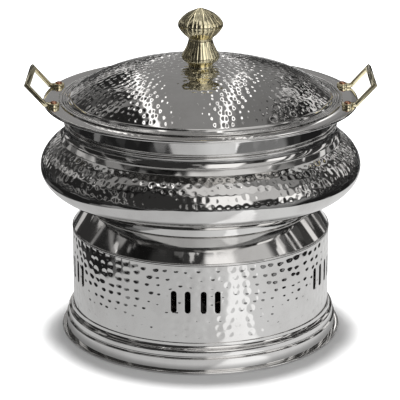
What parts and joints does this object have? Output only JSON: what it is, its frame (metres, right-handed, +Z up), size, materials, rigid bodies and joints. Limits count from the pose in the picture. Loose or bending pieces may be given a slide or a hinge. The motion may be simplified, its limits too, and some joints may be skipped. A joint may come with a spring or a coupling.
{
  "type": "soup kettle",
  "caption": "Hammered steel handi-shaped soup kettle: domed lid with a brass knob, handled food pan, bulbous water pan and a ventilated cylindrical stand with a fuel burner.",
  "frame": {"origin": "on the vertical axis of the kettle, at the surface it stands on", "axes": "+Z up, along the common axis of all the pans; the handles point along +X and -X; the side shown as the front faces -Y"},
  "size_m": [0.3962, 0.3696, 0.38],
  "materials": {
    "hammered_steel": "hammered stainless steel, mirror polished",
    "polished_steel": "smooth stainless steel, mirror polished",
    "polished_brass": "pale yellow brass, polished",
    "screw_brass": "reddish brass, slightly tarnished",
    "plain_steel": "zinc-plated steel hardware, satin",
    "burner_steel": "pressed stainless steel, brushed, lightly heat-tinted"
  },
  "bodies": {
    "stand": {"stand_shell": "hammered_steel", "stand_shoulder": "polished_steel", "stand_bead": "polished_steel", "base_moulding": "polished_steel", "base_rim": "polished_steel", "burner_shelf": "burner_steel", "burner_locator": "burner_steel"},
    "burner": {"burner_saucer": "burner_steel", "burner_handle": "plain_steel", "handle_rivets": "plain_steel", "fuel_pot": "burner_steel", "wick_screen": "plain_steel", "snuffer_bracket": "burner_steel", "snuffer_pin": "plain_steel"},
    "snuffer": {"snuffer_cover": "burner_steel", "snuffer_knob": "polished_brass"},
    "water_pan_body": {"water_pan": "hammered_steel", "water_pan_rim": "polished_steel", "water_pan_foot": "polished_steel"},
    "food_pan_body": {"food_pan": "polished_steel", "handle_left": "polished_brass", "handle_right": "polished_brass", "handle_screws": "screw_brass", "handle_washers": "plain_steel", "handle_nuts": "plain_steel"},
    "lid": {"lid_shell": "hammered_steel", "lid_skirt": "polished_steel", "lid_knob": "polished_brass", "knob_stud": "plain_steel", "knob_washer": "plain_steel", "knob_nut": "plain_steel"}
  },
  "joints": [
    {"name": "burner_lift", "type": "slide", "parent": "stand", "child": "burner", "axis": [0, 0, 1], "range_m": [0, 0.045]},
    {"name": "snuffer_swing", "type": "hinge", "parent": "burner", "child": "snuffer", "pos_m": [-0.046, 0, 0.0835], "axis": [0, 0, 1], "range_deg": [0, 120]},
    {"name": "water_pan_lift", "type": "slide", "parent": "stand", "child": "water_pan_body", "axis": [0, 0, 1], "range_m": [0, 0.12]},
    {"name": "food_pan_lift", "type": "slide", "parent": "water_pan_body", "child": "food_pan_body", "axis": [0, 0, 1], "range_m": [0, 0.11]},
    {"name": "lid_lift", "type": "slide", "parent": "food_pan_body", "child": "lid", "axis": [0, 0, 1], "range_m": [0, 0.12]}
  ]
}
